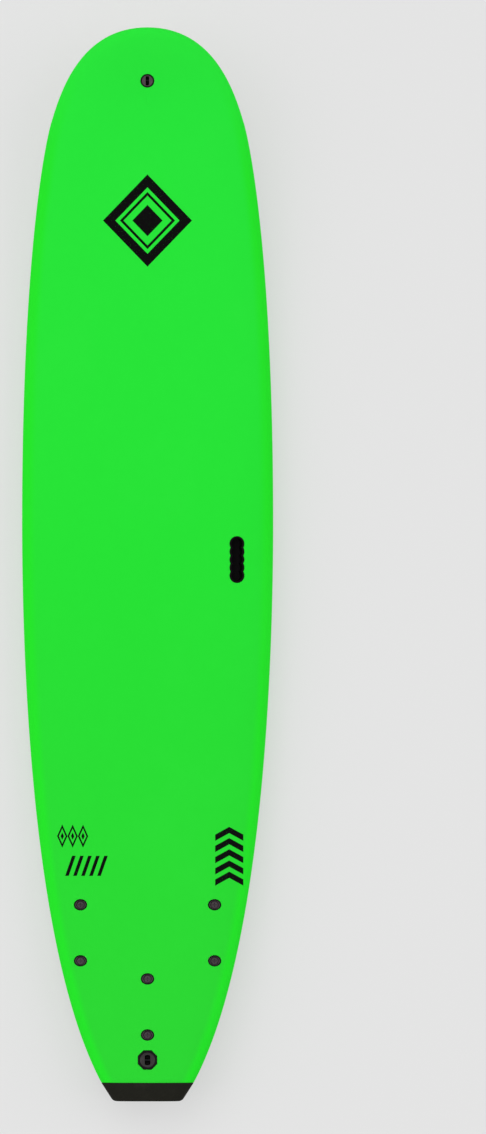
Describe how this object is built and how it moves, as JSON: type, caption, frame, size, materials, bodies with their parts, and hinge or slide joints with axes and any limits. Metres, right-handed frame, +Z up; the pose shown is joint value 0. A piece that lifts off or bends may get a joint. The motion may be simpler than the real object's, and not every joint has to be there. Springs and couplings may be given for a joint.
{
  "type": "soft-top surfboard",
  "caption": "Seven-foot soft-top surfboard with a green foam deck, slick printed bottom, finger grip, fin plugs, leash plug, nose plug and black tail bumper.",
  "frame": {"origin": "on the plane that the board rests on, under the middle of its length and width", "axes": "+X to the right seen from above with the nose ahead, +Y towards the nose, +Z up through the deck"},
  "size_m": [0.5, 2.134, 0.1494],
  "materials": {
    "deck_foam_green": "matt closed-cell foam skin, bright green",
    "core_foam_white": "white bead foam",
    "plywood": "bare plywood",
    "bottom_foam_white": "white closed-cell foam",
    "print_mint": "printed film, pale mint to olive",
    "slick_clear": "clear slick skin, glossy",
    "bumper_black": "matt black rubber",
    "plug_black": "moulded black plastic",
    "screw_grey": "moulded dark grey plastic",
    "grip_black": "moulded black plastic",
    "pin_steel": "stainless steel"
  },
  "bodies": {
    "root": {"deck_skin": "deck_foam_green", "bottom_foam": "bottom_foam_white", "bottom_print": "print_mint", "slick_skin": "slick_clear", "core_left": "core_foam_white", "core_centre": "core_foam_white", "core_right": "core_foam_white", "stringer_left": "plywood", "stringer_right": "plywood", "tail_bumper": "bumper_black", "hand_grip": "grip_black", "leash_cup": "plug_black", "leash_pin": "pin_steel", "leash_base": "plug_black", "nose_plug_cup": "plug_black", "nose_plug_pin": "pin_steel", "fin_cup_left_front": "plug_black", "fin_screw_left_front": "screw_grey", "fin_sleeve_left_front": "plug_black", "fin_cup_left_rear": "plug_black", "fin_screw_left_rear": "screw_grey", "fin_sleeve_left_rear": "plug_black", "fin_cup_right_front": "plug_black", "fin_screw_right_front": "screw_grey", "fin_sleeve_right_front": "plug_black", "fin_cup_right_rear": "plug_black", "fin_screw_right_rear": "screw_grey", "fin_sleeve_right_rear": "plug_black", "fin_cup_centre_front": "plug_black", "fin_screw_centre_front": "screw_grey", "fin_sleeve_centre_front": "plug_black", "fin_cup_centre_rear": "plug_black", "fin_screw_centre_rear": "screw_grey", "fin_sleeve_centre_rear": "plug_black"}
  },
  "joints": []
}
